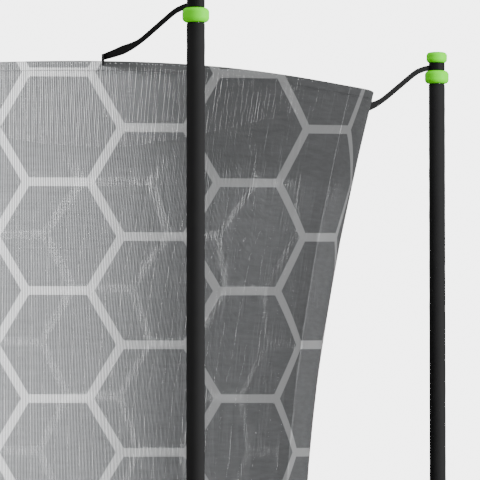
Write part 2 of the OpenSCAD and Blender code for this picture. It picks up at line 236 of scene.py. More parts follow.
def threadTree(name):  # lines become threads of a rectangular section
    tree, ids, source, out = startTree(name, [
        ("Width", "NodeSocketFloat"), ("Depth", "NodeSocketFloat"), ("Full Radius", "NodeSocketFloat"),
        ("Open Share", "NodeSocketFloat"), ("Open Below", "NodeSocketFloat"),
        ("Dense Above", "NodeSocketFloat"),
        ("Material", "NodeSocketMaterial")])
    curves = add(tree, "GeometryNodeMeshToCurve", links={"Mesh": source.outputs["Geometry"]})
    place = add(tree, "GeometryNodeInputPosition")
    flat = add(tree, "ShaderNodeVectorMath", {1: (1, 1, 0)}, {0: place.outputs[0]}, operation="MULTIPLY")
    unit = add(tree, "ShaderNodeVectorMath", {}, {0: flat.outputs[0]}, operation="NORMALIZE")
    normal = add(tree, "GeometryNodeSetCurveNormal", {}, {"Curve": curves.outputs[0]}, mode="FREE")
    tree.links.new(unit.outputs[0], normal.inputs["Normal"])
    far = add(tree, "ShaderNodeVectorMath", {}, {0: flat.outputs[0]}, operation="LENGTH")
    scale = add(tree, "ShaderNodeMath", {}, {0: far.outputs["Value"], 1: source.outputs["Full Radius"]},
                operation="DIVIDE")
    level = add(tree, "ShaderNodeSeparateXYZ", {}, {0: place.outputs[0]})
    thinned = add(tree, "ShaderNodeMapRange", {"To Max": 1.0}, {
        "Value": level.outputs["Z"], "From Min": source.outputs["Open Below"],
        "From Max": source.outputs["Dense Above"], "To Min": source.outputs["Open Share"]})
    narrowed = add(tree, "ShaderNodeMath", {}, {0: scale.outputs[0], 1: thinned.outputs["Result"]},
                   operation="MULTIPLY")
    section = add(tree, "GeometryNodeCurvePrimitiveQuadrilateral", {}, {
        "Width": source.outputs["Depth"], "Height": source.outputs["Width"]})
    solid = add(tree, "GeometryNodeCurveToMesh", {"Fill Caps": True}, {
        "Curve": normal.outputs[0], "Profile Curve": section.outputs[0], "Scale": narrowed.outputs[0]})
    real = add(tree, "GeometryNodeRealizeInstances", {}, {0: solid.outputs[0]})
    skin = add(tree, "GeometryNodeSetMaterial", {}, {
        "Geometry": real.outputs[0], "Material": source.outputs["Material"]})
    tree.links.new(skin.outputs[0], out.inputs[0])
    return tree, ids


def ringTree(name):  # one line becomes a round wire, set out evenly round Z
    tree, ids, source, out = startTree(name, [
        ("Wire Radius", "NodeSocketFloat"), ("Sides", "NodeSocketInt"), ("Count", "NodeSocketInt"),
        ("Offset", "NodeSocketFloat"), ("Material", "NodeSocketMaterial")])
    curves = add(tree, "GeometryNodeMeshToCurve", links={"Mesh": source.outputs["Geometry"]})
    section = add(tree, "GeometryNodeCurvePrimitiveCircle", {}, {
        "Radius": source.outputs["Wire Radius"], "Resolution": source.outputs["Sides"]})
    wire = add(tree, "GeometryNodeCurveToMesh", {"Fill Caps": True}, {
        "Curve": curves.outputs[0], "Profile Curve": section.outputs[0]})
    shade = add(tree, "GeometryNodeSetShadeSmooth", {}, {"Geometry": wire.outputs[0]})
    spots = add(tree, "GeometryNodeMeshLine", {"Offset": (0, 0, 0)}, {"Count": source.outputs["Count"]})
    number = add(tree, "GeometryNodeInputIndex")
    middle = add(tree, "ShaderNodeMath", {}, {0: number.outputs[0], 1: source.outputs["Offset"]},
                 operation="ADD")
    part = add(tree, "ShaderNodeMath", {}, {0: middle.outputs[0], 1: source.outputs["Count"]},
               operation="DIVIDE")
    turn = add(tree, "ShaderNodeMath", {1: math.tau}, {0: part.outputs[0]}, operation="MULTIPLY")
    angles = add(tree, "ShaderNodeCombineXYZ", {}, {"Z": turn.outputs[0]})
    rotation = add(tree, "FunctionNodeEulerToRotation", {}, {0: angles.outputs[0]})
    copies = add(tree, "GeometryNodeInstanceOnPoints", {}, {
        "Points": spots.outputs[0], "Instance": shade.outputs[0], "Rotation": rotation.outputs[0]})
    real = add(tree, "GeometryNodeRealizeInstances", {}, {0: copies.outputs[0]})
    skin = add(tree, "GeometryNodeSetMaterial", {}, {
        "Geometry": real.outputs[0], "Material": source.outputs["Material"]})
    tree.links.new(skin.outputs[0], out.inputs[0])
    return tree, ids


def grown(piece, treeAndIds, values):  # runs a tree on a piece and keeps the plain mesh
    tree, ids = treeAndIds
    modifier = piece.modifiers.new(tree.name, "NODES")
    modifier.node_group = tree
    for label, value in values.items():
        modifier[ids[label]] = value
    bpy.context.view_layer.update()
    result = piece.evaluated_get(bpy.context.evaluated_depsgraph_get())
    mesh = bpy.data.meshes.new_from_object(result)
    piece.modifiers.clear()
    old, name = piece.data, piece.name
    piece.data = mesh
    bpy.data.meshes.remove(old)
    mesh.name = name
    return piece


def startMaterial(name):
    material = bpy.data.materials.new(name)
    material.use_nodes = True
    tree = material.node_tree
    place = tree.nodes.new("ShaderNodeTexCoord").outputs["Object"]
    return material, tree, tree.nodes["Principled BSDF"], place


def calc(tree, kind, a, b=None, c=None, clamp=False):
    node = tree.nodes.new("ShaderNodeMath")
    node.operation, node.use_clamp = kind, clamp
    for i, value in enumerate((a, b, c)):
        if isinstance(value, (int, float)):
            node.inputs[i].default_value = value
        elif value is not None:
            tree.links.new(value, node.inputs[i])
    return node.outputs[0]


def noise(tree, place, scale, detail=3.0, roughness=0.5, stretch=None):
    if stretch:
        place = add(tree, "ShaderNodeMapping", {"Scale": stretch}, {"Vector": place}).outputs[0]
    node = add(tree, "ShaderNodeTexNoise", {"Scale": scale, "Detail": detail, "Roughness": roughness},
               {"Vector": place})
    return node.outputs["Fac"]


def blendColours(tree, share, first, second):
    node = tree.nodes.new("ShaderNodeMix")
    node.data_type = "RGBA"
    for index, value in ((0, share), (6, first), (7, second)):
        if isinstance(value, tuple):
            node.inputs[index].default_value = (*value, 1)
        else:
            tree.links.new(value, node.inputs[index])
    return node.outputs[2]


def bands(tree, place, scale, axis):
    node = add(tree, "ShaderNodeTexWave", {"Scale": scale, "Distortion": 0.0, "Detail": 0.0},
               {"Vector": place},
               wave_type="BANDS", bands_direction=axis, wave_profile="SIN")
    return node.outputs["Fac"]


def finish(tree, shader, colour, rough, height, strength, distance):
    tree.links.new(colour, shader.inputs["Base Color"])
    tree.links.new(rough, shader.inputs["Roughness"])
    bump = add(tree, "ShaderNodeBump", {"Strength": strength, "Distance": distance}, {"Height": height})
    tree.links.new(bump.outputs[0], shader.inputs["Normal"])


def surface(name, dark, light, patch, rough, grain, strength, distance, metal=0.0, stretch=None, coat=0.0,
            sheen=0.0, specular=0.5):
    material, tree, shader, place = startMaterial(name)
    shader.inputs["Specular IOR Level"].default_value = specular
    shader.inputs["Metallic"].default_value = metal
    shader.inputs["Coat Weight"].default_value = coat
    shader.inputs["Coat Roughness"].default_value = 0.15
    shader.inputs["Sheen Weight"].default_value = sheen
    broad = noise(tree, place, patch, 4, 0.6, stretch)
    fine = noise(tree, place, grain, 2, 0.5, stretch)
    colour = blendColours(tree, broad, dark, light)
    uneven = calc(tree, "MULTIPLY_ADD", broad, 0.22, rough - 0.11)
    finish(tree, shader, colour, uneven, fine, strength, distance)
    return material


def woven(name, dark, light, pitch, rough, strength, distance, sheen=0.0, specular=0.25):
    material, tree, shader, place = startMaterial(name)
    shader.inputs["Specular IOR Level"].default_value = specular
    shader.inputs["Sheen Weight"].default_value = sheen
    scale = math.pi / 10 / pitch
    one = bands(tree, place, scale, "X")
    two = bands(tree, place, scale, "Y")
    three = bands(tree, place, scale, "Z")
    cross = calc(tree, "MAXIMUM", calc(tree, "MULTIPLY", one, two), calc(tree, "MULTIPLY", three, 0.9))
    patch = noise(tree, place, 6, 3)
    share = calc(tree, "MULTIPLY_ADD", cross, 0.6, calc(tree, "MULTIPLY", patch, 0.4))
    colour = blendColours(tree, share, dark, light)
    uneven = calc(tree, "MULTIPLY_ADD", patch, 0.2, rough - 0.1)
    finish(tree, shader, colour, uneven, cross, strength, distance)
    return material


netLook = {
    "front": 24.7, "columns": 20, "shift": -0.76, "waves": ((0.379, 0.028), (0.012, 0.111), (-0.018, 0.131)),
    "meanRadius": 1.10, "side": 0.190, "rowHeight": 0.3295, "firstCentre": 0.201, "lineWidth": 0.026,
    "level": 0.855, "rise": 0.064, "dark": (0.162, 0.166, 0.170), "light": (0.455, 0.46, 0.465),
}


def netMaterial():  # dark knit with a light honeycomb, laid out by azimuth and height
    material, tree, shader, place = startMaterial("netKnit")
    parts = add(tree, "ShaderNodeSeparateXYZ", {}, {0: place}).outputs
    turn = math.radians(netLook["front"])
    across = calc(tree, "MULTIPLY_ADD", parts[0], math.cos(turn),
                  calc(tree, "MULTIPLY", parts[1], math.sin(turn)))
    toward = calc(tree, "MULTIPLY_ADD", parts[0], math.sin(turn),
                  calc(tree, "MULTIPLY", parts[1], -math.cos(turn)))
    square = calc(tree, "MULTIPLY_ADD", across, across, calc(tree, "MULTIPLY", toward, toward))
    radius = calc(tree, "SQRT", square)
    sine = calc(tree, "DIVIDE", across, radius)
    cosine = calc(tree, "DIVIDE", toward, radius)
    taper = calc(tree, "MULTIPLY_ADD", radius, -1 / netLook["meanRadius"], 1.0)
    cube = calc(tree, "MULTIPLY", calc(tree, "MULTIPLY", sine, sine), sine)
    lean = calc(tree, "MULTIPLY", taper, calc(tree, "MULTIPLY_ADD", cube, 0.95, sine))
    azimuth = calc(tree, "SUBTRACT", calc(tree, "ARCTAN2", across, toward), lean)
    column = calc(tree, "MULTIPLY_ADD", azimuth, netLook["columns"] / math.tau, netLook["shift"])
    for order, (even, odd) in enumerate(netLook["waves"], 1):  # columns are wider where the net is stretched
        angle = calc(tree, "MULTIPLY", azimuth, float(order))
        column = calc(tree, "MULTIPLY_ADD", calc(tree, "COSINE", angle), even, column)
        column = calc(tree, "MULTIPLY_ADD", calc(tree, "SINE", angle), odd, column)
    x = calc(tree, "MULTIPLY", column, 1.5)
    root = math.sqrt(3)
    lift = calc(tree, "MULTIPLY", calc(tree, "SUBTRACT", parts[2], netLook["level"]), netLook["rise"])
    height = calc(tree, "SUBTRACT", parts[2],
                  calc(tree, "MULTIPLY", lift, calc(tree, "SUBTRACT", 1.0, cosine)))
    top = layout["netTop"] - netLook["firstCentre"]
    y = calc(tree, "MULTIPLY", calc(tree, "SUBTRACT", top, height), root / netLook["rowHeight"])

    def nearest(value, period):
        whole = calc(tree, "ROUND", calc(tree, "DIVIDE", value, period))
        return calc(tree, "ABSOLUTE", calc(tree, "SUBTRACT", value, calc(tree, "MULTIPLY", whole, period)))

    def cellDistance(shiftX, shiftY):
        u = nearest(calc(tree, "SUBTRACT", x, shiftX), 3.0)
        v = nearest(calc(tree, "SUBTRACT", y, shiftY), root)
        slanted = calc(tree, "ADD", calc(tree, "MULTIPLY", u, root / 2), calc(tree, "MULTIPLY", v, 0.5))
        return calc(tree, "MAXIMUM", v, slanted)

    distance = calc(tree, "MINIMUM", cellDistance(0.0, 0.0), cellDistance(1.5, root / 2))
    edge = root / 2 - netLook["lineWidth"] / 2 / netLook["side"]
    line = calc(tree, "MULTIPLY", calc(tree, "SUBTRACT", distance, edge - 0.006), 1 / 0.012, clamp=True)
    patch = noise(tree, place, 3.0, 2)
    fibre = noise(tree, place, 900.0, 2)
    ripple = noise(tree, place, 1.0, 3, 0.6, (14, 14, 95))  # uneven courses of the knit
    tone = calc(tree, "MULTIPLY_ADD", patch, 0.3, calc(tree, "MULTIPLY", ripple, 0.7))
    shade = tuple(c * 0.62 for c in netLook["dark"])
    dark = blendColours(tree, tone, shade, tuple(c * 1.38 for c in netLook["dark"]))
    colour = blendColours(tree, line, dark, netLook["light"])
    rough = calc(tree, "MULTIPLY_ADD", fibre, 0.2, 0.65)
    shader.inputs["Specular IOR Level"].default_value = 0.2
    finish(tree, shader, colour, rough, fibre, 0.3, 0.0004)
    return material


paints = {
    "galvanised": surface("galvanisedTube", (0.42, 0.43, 0.44), (0.60, 0.61, 0.62), 38, 0.42, 220, 0.12,
                          0.0006, metal=0.9),
    "zinc": surface("zincSteel", (0.55, 0.55, 0.54), (0.72, 0.72, 0.70), 60, 0.34, 500, 0.08, 0.0003,
                    metal=1.0),
    "spring": surface("springWire", (0.50, 0.51, 0.52), (0.74, 0.75, 0.76), 90, 0.26, 400, 0.06, 0.0002,
                      metal=1.0),
    "rubber": surface("footRubber", (0.012, 0.012, 0.013), (0.03, 0.03, 0.032), 30, 0.75, 350, 0.25, 0.0006),
    "blackPlastic": surface("blackPlastic", (0.012, 0.012, 0.013), (0.022, 0.022, 0.024), 20, 0.48, 600, 0.2,
                            0.0003),
    "green": surface("limePlastic", (0.12, 0.80, 0.0), (0.14, 0.86, 0.001), 9, 0.45, 700, 0.08, 0.0002,
                     specular=0.08),
    "glassFibre": surface("paleGlassFibre", (0.38, 0.37, 0.31), (0.52, 0.51, 0.44), 120, 0.40, 500, 0.2,
                          0.0003, stretch=(1, 1, 6)),
    "foam": surface("foamSleeve", (0.011, 0.011, 0.0113), (0.017, 0.017, 0.0174), 14, 0.75, 420, 0.35, 0.0008,
                    specular=0.1),
    "padTop": surface("padVinyl", (0.030, 0.031, 0.033), (0.048, 0.049, 0.052), 7, 0.42, 260, 0.30, 0.0007),
    "webbing": woven("blackWebbing", (0.002, 0.002, 0.0022), (0.0065, 0.0065, 0.007), 0.0022, 0.62, 0.5,
                     0.0006, specular=0.15),
    "greenTape": woven("limeBinding", (0.12, 0.40, 0.004), (0.18, 0.52, 0.008), 0.0022, 0.60, 0.4, 0.0005),
    "mat": woven("matWeave", (0.010, 0.010, 0.011), (0.030, 0.030, 0.032), 0.0030, 0.50, 0.6, 0.0008,
                 sheen=0.1),
    "net": netMaterial(),
}
print("materials made:", len(paints))

for name, node in nodes.items():  # finishes of the pieces kept from the frame
    if name.startswith(("rail_", "leg_base", "leg_upright", "pole_")):
        paint(node, paints["galvanised"])
    if name.startswith("pole_cap"):
        paint(node, paints["green"])
for name, finishName in (("leg_feet", "rubber"), ("pole_end_caps", "blackPlastic"),
                         ("clamp_spacers", "blackPlastic"), ("clamp_bolts", "zinc"), ("clamp_nuts", "zinc"),
                         ("hoop_ferrules", "zinc"), ("zip_slider", "zinc"), ("zip_pull", "green"),
                         ("v_rings", "zinc"), ("net_foot_band", "webbing"), ("mat_webbing", "webbing"),
                         ("zip_tapes", "webbing"), ("pad_ties", "webbing")):
    paint(nodes[name], paints[finishName])


def dishShare(point):  # how much of the mat's travel a point on it makes
    r = min(math.hypot(point[0], point[1]) / layout["springEnd"], 1.0)
    return (1 - r) * (1 + 0.2 * r)


def dish(piece, share):  # the piece follows the mat by its own share at each point
    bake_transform(piece, "mat", "frame", (0, 0, 0), (1, 0, 0))
    weights = piece.data.attributes["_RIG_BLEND"].data
    values = np.array([1 - share(v.co) for v in piece.data.vertices], np.float32)
    weights.foreach_set("value", values)
    return piece


net = {"threadsRound": 1280, "ringStep": 0.0048, "threadWidth": 0.0054, "threadDepth": 0.0002,
       "ringHeight": 0.0018, "ringDepth": 0.0002, "fullRadius": 1.122, "wave": 0.0011,
       "openShare": 0.945, "openBelow": 1.98, "denseAbove": 2.06,
       "sway": 0.02, "unevenness": 0.02, "ringUnevenness": 0.25, "zipGap": 1.25, "zipLength": 1.13,
       "flareLow": 1.9, "flareHigh": 1.94}


def netPanel(number):
    start = (number - 1) * 90
    step = 360 / net["threadsRound"]
    heights = np.concatenate([np.linspace(layout["netFoot"], net["flareLow"], 26),
                              np.linspace(net["flareHigh"], layout["netTop"], 13)])
    levels = np.arange(layout["netFoot"] + 0.003, layout["netTop"], net["ringStep"])
    zipHeight = layout["netFoot"] + net["zipLength"]
    rng = np.random.default_rng(number)
    points, edges = [], []
    for i in range(net["threadsRound"] // 4):
        azimuth = start + (i + 0.5 + rng.uniform(-1, 1) * net["unevenness"]) * step
        offset = abs((azimuth - layout["zipAzimuth"] + 180) % 360 - 180)
        z = heights if offset > net["zipGap"] else np.linspace(zipHeight, layout["netTop"], 8)
        base = len(points)
        sway = net["sway"] * step * np.sin(z * rng.uniform(24, 44) + rng.uniform(0, math.tau))
        points.extend(netPoints(azimuth + sway, z))
        edges.extend((base + k, base + k + 1) for k in range(len(z) - 1))
    upright = newPiece(f"netThreads{number}", points, [], edges)
    points, edges = [], []
    for j, level in enumerate(levels):
        low, high = start, start + 90
        if level < zipHeight and number == 1:
            low = start + net["zipGap"]
        if level < zipHeight and number == 4:
            high = start + 90 - net["zipGap"]
        level += rng.uniform(-1, 1) * net["ringUnevenness"] * net["ringStep"]
        azimuths = np.linspace(low, high, 21)
        wobble = net["wave"] * (np.sin(azimuths * 0.41 + j * 0.35) + 0.6 * np.sin(azimuths * 1.13 - j * 0.21))
        z = np.clip(level + wobble, layout["netFoot"], layout["netTop"])
        base = len(points)
        points.extend(netPoints(azimuths, z))
        edges.extend((base + k, base + k + 1) for k in range(len(azimuths) - 1))
    rings = newPiece(f"netRings{number}", points, [], edges)
    sizes = {"Full Radius": net["fullRadius"], "Open Share": net["openShare"], "Open Below": net["openBelow"],
             "Dense Above": net["denseAbove"], "Material": paints["net"]}
    grown(upright, threads, {"Width": net["threadWidth"], "Depth": net["threadDepth"], **sizes})
    grown(rings, threads, {"Width": net["ringHeight"], "Depth": net["ringDepth"], **sizes})
    return joined(f"netPanel{number}", [upright, rings])


threads = threadTree("threadsFromLines")
panels = [netPanel(n) for n in (1, 2, 3, 4)]
print("net panels:", [len(p.data.polygons) for p in panels])

hoop = {"rodRadius": 0.004}


def hoopLine(radius, z, start, end, steps):
    azimuths = np.linspace(start, end, steps)
    a = np.radians(azimuths)
    height = z - hemSag(azimuths)
    return np.stack([radius * np.sin(a), -radius * np.cos(a), height], -1)


def roundSection(radius, sides):
    turn = np.linspace(0, math.tau, sides, endpoint=False)
    return [(radius * math.cos(t), radius * math.sin(t)) for t in turn]


rods = []
for k in range(4):
    line = hoopLine(layout["hoopRadius"], layout["hoopHeight"], 110 + 90 * k + 0.02, 200 + 90 * k - 0.02, 46)
    rods.append(sweep(f"hoopRod{k + 1}", line, [roundSection(hoop["rodRadius"], 10)] * len(line), (0, 0, 1)))
hoopRods = smooth(paint(joined("hoopRods", rods), paints["glassFibre"]))
sleeves = []
for k in range(4):
    half = 2.0
    line = hoopLine(layout["hoopRadius"], layout["hoopHeight"], 110 + 90 * k - half, 110 + 90 * k + half, 8)
    sleeves.append(sweep(f"hoopSleeve{k + 1}", line, [roundSection(0.0052, 16)] * len(line), (0, 0, 1)))
hoopSleeves = smooth(paint(joined("hoopSleeves", sleeves), paints["zinc"]))


def hemPiece():  # a fine cord at the net's edge, and the seam that holds the hoop in the fold
    cords = []
    for name, radius, z, thick in (("edgeCord", 1.1500, layout["netTop"] - 0.001, 0.0022),
                                   ("seamCord", netRadius(layout["netTop"] - 0.026) + 0.0016,
                                    layout["netTop"] - 0.026, 0.0008)):
        outline = [(radius + s, z + u) for s, u in roundSection(thick, 8)]
        cords.append(revolve(name, outline, 240, lambda a, radius, z: (radius, z - hemSag(a))))
    return smooth(joined("netHem", cords), 60)


hem = paint(hemPiece(), paints["net"])
print("hem and hoop")

strap = {"width": 0.024, "runWidth": 0.0175, "tabWidth": 0.027, "thickness": 0.0022,
         "swing": (-8.0, 0.5, -1.5, 1.0), "landing": (0.012, -0.026, -0.012, -0.010)}


def bezier(points, count):  # smooth line through the points, evenly spaced
    points = np.array(points, float)
    far = np.concatenate([[0], np.cumsum(np.linalg.norm(np.diff(points, axis=0), axis=1))])
    t = np.linspace(0, far[-1], count)
    before = np.vstack([2 * points[0] - points[1], points, 2 * points[-1] - points[-2]])
    out = []
    for value in t:
        i = min(np.searchsorted(far, value, side="right") - 1, len(points) - 2)
        u = (value - far[i]) / (far[i + 1] - far[i])
        p0, p1, p2, p3 = before[i], before[i + 1], before[i + 2], before[i + 3]
        out.append(0.5 * (2 * p1 + (p2 - p0) * u + (2 * p0 - 5 * p1 + 4 * p2 - p3) * u ** 2
                          + (3 * p1 - p0 - 3 * p2 + p3) * u ** 3))
    return np.array(out)


def ribbonSection(width, thickness):
    w, t = width / 2, thickness / 2
    return [(t, -w), (t, w), (0, w + t * 0.4), (-t, w), (-t, -w), (0, -w - t * 0.4)]


def hemStrap(number):
    azimuth = layout["poleAzimuths"][number - 1]
    swing = strap["swing"][number - 1]
    neck = polar(layout["poleRadius"], azimuth, layout["neckHeight"])
    height = layout["netTop"] + strap["landing"][number - 1] - hemSag(azimuth + swing)
    landing = polar(layout["hoopRadius"] + 0.0125, azimuth + swing, height)
    way = landing - neck
    way[2] = 0
    reach = np.linalg.norm(way)
    way /= reach
    turns = []
    loopRadius = 0.0235
    for lap, lift in ((0, -0.0005), (1, 0.0008)):
        start = math.atan2(way[1], way[0])
        radius = loopRadius + lap * 0.0026
        path = [neck + np.array([radius * math.cos(start + t), radius * math.sin(start + t), lift])
                for t in np.linspace(0, math.tau, 40)]
        sections = [ribbonSection(strap["width"], 0.0021)] * len(path)
        turns.append(sweep(f"strapLoop{number}{lap}", path, sections, (0, 0, 1)))
    drop = layout["neckHeight"] - 0.004 - landing[2]
    marks = [(0.03, 0.0), (0.10, -0.01), (0.165, -0.05), (0.24, -0.13), (0.41, -0.41), (0.575, -0.68),
             (0.69, -0.81), (0.86, -0.925), (1.0, -1.0)]
    points = [neck + way * max(along * reach, 0.024) + np.array([0, 0, up * drop - 0.004])
              for along, up in marks]
    path = bezier(points, 70)
    sections = []
    for i in range(len(path)):
        share = i / (len(path) - 1)
        grow = np.interp(share, (0, 0.60, 0.78, 1.0), (0, 0, 1, 0.15))
        width = strap["runWidth"] + (strap["tabWidth"] - strap["runWidth"]) * grow
        sections.append(ribbonSection(width, strap["thickness"] * (1 + 0.8 * grow)))
    run = sweep(f"strapRun{number}", path, sections, (0, 0, 1))
    fold = [(radius, up) for radius, up in ((0.016, 0.010), (0.0155, -0.010), (0.014, -0.026))]
    patchPath = [polar(layout["hoopRadius"] + radius, azimuth + swing, height + up) for radius, up in fold]
    patch = sweep(f"strapPatch{number}", bezier(patchPath, 10), [ribbonSection(0.026, 0.003)] * 10,
                  polar(1, azimuth + swing, 0))
    return joined(f"hemStrap{number}", turns + [run, patch])


straps = [smooth(paint(hemStrap(n), paints["webbing"]), 50) for n in (1, 2, 3, 4)]
print("straps")

foam = {"outside": 0.0278, "inside": 0.0172, "low": 0.625, "high": 2.4188, "sides": 40, "ringStep": 0.012}


def poleLine(low, high, step):  # the pole's centre line in its own upright plane
    slope, bend = math.radians(layout["slope"]), layout["bendRadius"]
    outward1 = bend * (1 - math.cos(slope))
    run = (layout["poleRadius"] - layout["clampRadius"] - 2 * outward1) / math.sin(slope)
    top = layout["bendStart"] + 2 * bend * math.sin(slope) + run * math.cos(slope)
    line = [(layout["clampRadius"], z) for z in np.arange(low, layout["bendStart"], step)]
    for t in np.linspace(0, slope, 12, endpoint=False):
        line.append((layout["clampRadius"] + bend * (1 - math.cos(t)),
                     layout["bendStart"] + bend * math.sin(t)))
    for s in np.arange(0, run, step):
        line.append((layout["clampRadius"] + outward1 + s * math.sin(slope),
                     layout["bendStart"] + bend * math.sin(slope) + s * math.cos(slope)))
    for t in np.linspace(slope, 0, 12, endpoint=False):
        line.append((layout["poleRadius"] - bend * (1 - math.cos(t)), top - bend * math.sin(t)))
    line.extend((layout["poleRadius"], z) for z in np.append(np.arange(top, high, step), high))
    return np.array(line)


def tubeShell(name, path, outer, inner, across):  # hollow sweep with ring-shaped ends
    path = np.array(path, float)
    along = np.gradient(path, axis=0)
    along /= np.linalg.norm(along, axis=1)[:, None]
    side = np.cross(along, np.broadcast_to(across, path.shape))
    side /= np.linalg.norm(side, axis=1)[:, None]
    up = np.cross(side, along)
    count, rows = len(outer[0]), len(path)
    points = []
    for rings in (outer, inner):
        for i in range(rows):
            points.extend(path[i] + side[i] * s + up[i] * u for s, u in rings[i])
    faces = []
    shift = rows * count
    for i in range(rows - 1):
        for k in range(count):
            m = (k + 1) % count
            faces.append((i * count + k, i * count + m, (i + 1) * count + m, (i + 1) * count + k))
            faces.append((shift + i * count + k, shift + (i + 1) * count + k,
                          shift + (i + 1) * count + m, shift + i * count + m))
    last = (rows - 1) * count
    for k in range(count):
        m = (k + 1) % count
        faces.append((k, shift + k, shift + m, m))
        faces.append((last + k, last + m, shift + last + m, shift + last + k))
    return outward(newPiece(name, points, faces))


def foamSleeve(number):
    azimuth = layout["poleAzimuths"][number - 1]
    line = poleLine(foam["low"], foam["high"], foam["ringStep"])
    path = np.array([polar(r, azimuth, z) for r, z in line])
    across = polar(1, azimuth + 90, 0)
    rng = np.random.default_rng(40 + number)
    waves = [(rng.uniform(5, 16), rng.uniform(0, 6.3), rng.integers(1, 4)) for _ in range(5)]
    outer, inner = [], []
    for r, z in line:
        ring = []
        end = min(1.0, (z - foam["low"]) / 0.006, (foam["high"] - z) / 0.006)
        for t in np.linspace(0, math.tau, foam["sides"], endpoint=False):
            ripple = sum(math.sin(f * z * 6.3 + p + n * t) for f, p, n in waves) * 0.00010
            seam = -0.0009 * math.exp(-((t - 4.4) / 0.05) ** 2)
            radius = foam["outside"] - 0.0002 + ripple + seam - 0.0022 * (1 - max(end, 0)) ** 2
            ring.append((radius * math.cos(t), radius * math.sin(t)))
        outer.append(ring)
        inner.append([(foam["inside"] * math.cos(t), foam["inside"] * math.sin(t))
                      for t in np.linspace(0, math.tau, foam["sides"], endpoint=False)])
    shell = tubeShell(f"foamSleeve{number}", path, outer, inner, across)
    return smooth(paint(shell, paints["foam"]), 60)


sleevesOnPoles = [foamSleeve(n) for n in (1, 2, 3, 4)]
print("foam sleeves")

pad = {"inner": 0.950, "outer": 1.228, "low": 0.592, "thickness": 0.020, "skirt": 0.080, "panels": 8}


def padShape(a, radius, z):  # sewn sections, slightly puffed between radial seams
    share = (a * pad["panels"] / 360) % 1
    seam = np.exp(-(np.minimum(share, 1 - share) * 360 / pad["panels"] / 0.35) ** 2)
    wide = np.clip((radius - pad["inner"]) / (pad["outer"] - pad["inner"]), 0, 1)
    crown = np.sin(np.pi * wide) ** 0.5
    topSide = (z > pad["low"] + 0.012)
    puff = 0.0025 * np.sin(np.pi * share) ** 0.6 * crown + 0.0008 * np.sin(np.radians(a) * 34) * crown
    return radius, z + topSide * (puff - 0.006 * seam * (crown > 0))


def padRing():
    low, high = pad["low"], pad["low"] + pad["thickness"]
    inner, outer = pad["inner"], pad["outer"]
    outline = [(inner + 0.004, low), (inner, low + 0.004), (inner, low + 0.012),
               (inner + 0.006, high - 0.002)]
    outline += [(r, high) for r in np.linspace(inner + 0.014, outer - 0.014, 14)]
    outline += [(outer - 0.006, high - 0.002), (outer, low + 0.012), (outer, low + 0.002),
                (outer - 0.0026, low + 0.0005), (outer - 0.012, low)]
    outline += [(r, low) for r in np.linspace(outer - 0.05, inner + 0.02, 6)]
    return smooth(paint(revolve("springPad", outline, 720, padShape), paints["padTop"]), 45)


def padSkirt():
    outer, low, high = pad["outer"], pad["low"] - pad["skirt"], pad["low"] + 0.010
    rows = np.linspace(high, low, 10)
    outline = [(outer - 0.0005, z) for z in rows] + [(outer - 0.0021, z) for z in rows[::-1]]

    def wavy(a, radius, z):
        depth = np.clip((high - z) / (high - low), 0, 1)
        fold = np.sin(np.radians(a) * 31) + 0.5 * np.sin(np.radians(a) * 73 + 1.0)
        return radius + 0.0011 * depth * fold, z

    return smooth(paint(revolve("padSkirt", outline, 720, wavy), paints["padTop"]), 45)


def edgeTape(name, radius, z, tall, wide, shape=None):  # binding folded over an edge
    outline = [(radius + wide * math.cos(t), z + tall * math.sin(t))
               for t in np.linspace(0, math.tau, 12, endpoint=False)]
    return smooth(paint(revolve(name, outline, 360, shape), paints["greenTape"]), 60)


springPad = padRing()
skirt = padSkirt()
innerTape = edgeTape("padInnerBinding", pad["inner"] + 0.001, pad["low"] + 0.009, 0.0075, 0.0030)
outerTape = edgeTape("padOuterBinding", pad["outer"] - 0.001, pad["low"] + 0.011, 0.0060, 0.0022)
print("spring pad")

mat = {"radius": 0.990, "z": 0.577, "half": 0.0012, "rings": 40, "sides": 160, "springs": 48}


def matDisc():
    points, faces = [], []
    sides, rings = mat["sides"], mat["rings"]
    for z in (mat["z"] + mat["half"], mat["z"] - mat["half"]):
        points.append((0, 0, z))
        for j in range(1, rings + 1):
            for i in range(sides):
                points.append(tuple(polar(mat["radius"] * j / rings, 360 * i / sides, z)))
    under = 1 + rings * sides
    for base, flip in ((0, False), (under, True)):
        for i in range(sides):
            n = (i + 1) % sides
            tri = (base, base + 1 + i, base + 1 + n)
            faces.append(tri[::-1] if flip else tri)
            for j in range(rings - 1):
                a, b = base + 1 + j * sides, base + 1 + (j + 1) * sides
                quad = (a + i, b + i, b + n, a + n)
                faces.append(quad[::-1] if flip else quad)
    last = 1 + (rings - 1) * sides
    for i in range(sides):
        n = (i + 1) % sides
        faces.append((last + i, under + last + i, under + last + n, last + n))
    return smooth(paint(outward(newPiece("jumpingMat", points, faces)), paints["mat"]), 30)


def matEdge():
    radius, z = 0.980, mat["z"]
    outline = [(0.9605, z + 0.0016), (0.964, z + 0.0030), (radius, z + 0.0031), (0.998, z + 0.0029),
               (1.0005, z + 0.0010), (1.0005, z - 0.0010), (0.998, z - 0.0029), (radius, z - 0.0031),
               (0.964, z - 0.0030), (0.9605, z - 0.0016)]
    return smooth(paint(revolve("matEdgeWebbing", outline, 288), paints["webbing"]), 45)


